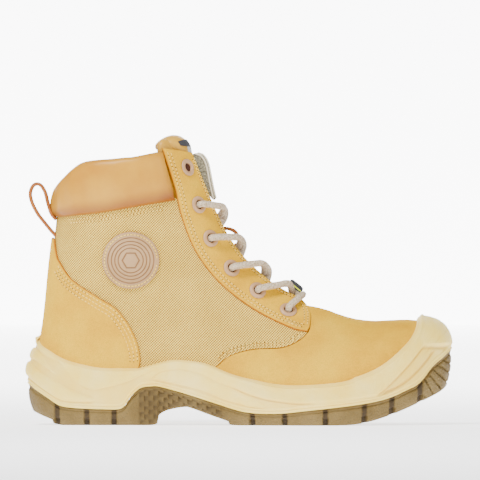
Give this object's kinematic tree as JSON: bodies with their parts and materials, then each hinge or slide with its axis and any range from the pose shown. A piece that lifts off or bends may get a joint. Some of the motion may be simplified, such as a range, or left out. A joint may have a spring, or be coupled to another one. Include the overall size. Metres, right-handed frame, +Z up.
{
  "type": "steel toe work boot",
  "caption": "Lace-up ankle safety boot for the right foot: nubuck and canvas upper, padded collar, foam midsole with toe bumper, lugged outsole.",
  "frame": {"origin": "on the ground under the middle of the boot, without its lace tails", "axes": "+X towards the toe, +Y towards the inner side of the foot, +Z up"},
  "size_m": [0.3038, 0.1114, 0.2066],
  "materials": {
    "nubuck": "nubuck, nap matte",
    "canvas": "woven",
    "collar_satin": "satin",
    "midsole_foam": "satin",
    "outsole_rubber": "matte",
    "black_rubber": "matte",
    "steel": "satin",
    "felt": "matte",
    "strap_leather": "satin",
    "enamel": "satin",
    "lace_braid": "woven",
    "mesh_cloth": "mesh",
    "label_cloth": "matte",
    "badge_rubber": "matte"
  },
  "bodies": {
    "root": {"outsole": "outsole_rubber", "midsole": "midsole_foam", "penetration_plate": "steel", "insole_board": "felt", "steel_toe_cap": "steel", "toe_cap_edge_strip": "black_rubber", "vamp": "nubuck", "vamp_lining": "felt", "heel_stiffener": "felt", "quarter_canvas_lateral": "canvas", "quarter_canvas_medial": "canvas", "heel_counter_cover": "nubuck", "facing_lateral": "nubuck", "facing_medial": "nubuck", "collar": "collar_satin", "quarter_lining": "collar_satin", "tongue_base": "collar_satin", "lace_keeper": "strap_leather", "lace": "lace_braid", "lace_end_lateral": "lace_braid", "lace_end_medial": "lace_braid", "aglet_lateral": "enamel", "aglet_medial": "enamel", "badge": "badge_rubber", "side_tag": "label_cloth", "eyelet_lateral_1": "enamel", "eyelet_lateral_2": "enamel", "eyelet_lateral_3": "enamel", "eyelet_lateral_4": "enamel", "eyelet_lateral_5": "enamel", "eyelet_lateral_6": "enamel", "eyelet_medial_1": "enamel", "eyelet_medial_2": "enamel", "eyelet_medial_3": "enamel", "eyelet_medial_4": "enamel", "eyelet_medial_5": "enamel", "eyelet_medial_6": "enamel"},
    "tongue": {"tongue_top": "collar_satin", "tongue_gusset_lateral": "mesh_cloth", "tongue_gusset_medial": "mesh_cloth", "tongue_label": "label_cloth"},
    "pull_loop": {"pull_loop": "strap_leather"},
    "footbed": {"footbed": "felt"}
  },
  "joints": [
    {"name": "tongue_bend", "type": "hinge", "parent": "root", "child": "tongue", "pos_m": [-0.0275, 0.0025, 0.163], "axis": [0, 1, 0], "range_deg": [-6, 25], "stiffness_Nm_per_rad": 0.15},
    {"name": "pull_loop_swing", "type": "hinge", "parent": "root", "child": "pull_loop", "pos_m": [-0.134, 0.0025, 0.139], "axis": [0, 1, 0], "range_deg": [-30, 0], "stiffness_Nm_per_rad": 0.05},
    {"name": "footbed_lift", "type": "hinge", "parent": "root", "child": "footbed", "pos_m": [0.13, 0.0025, 0.036], "axis": [0, 1, 0], "range_deg": [0, 4]}
  ]
}
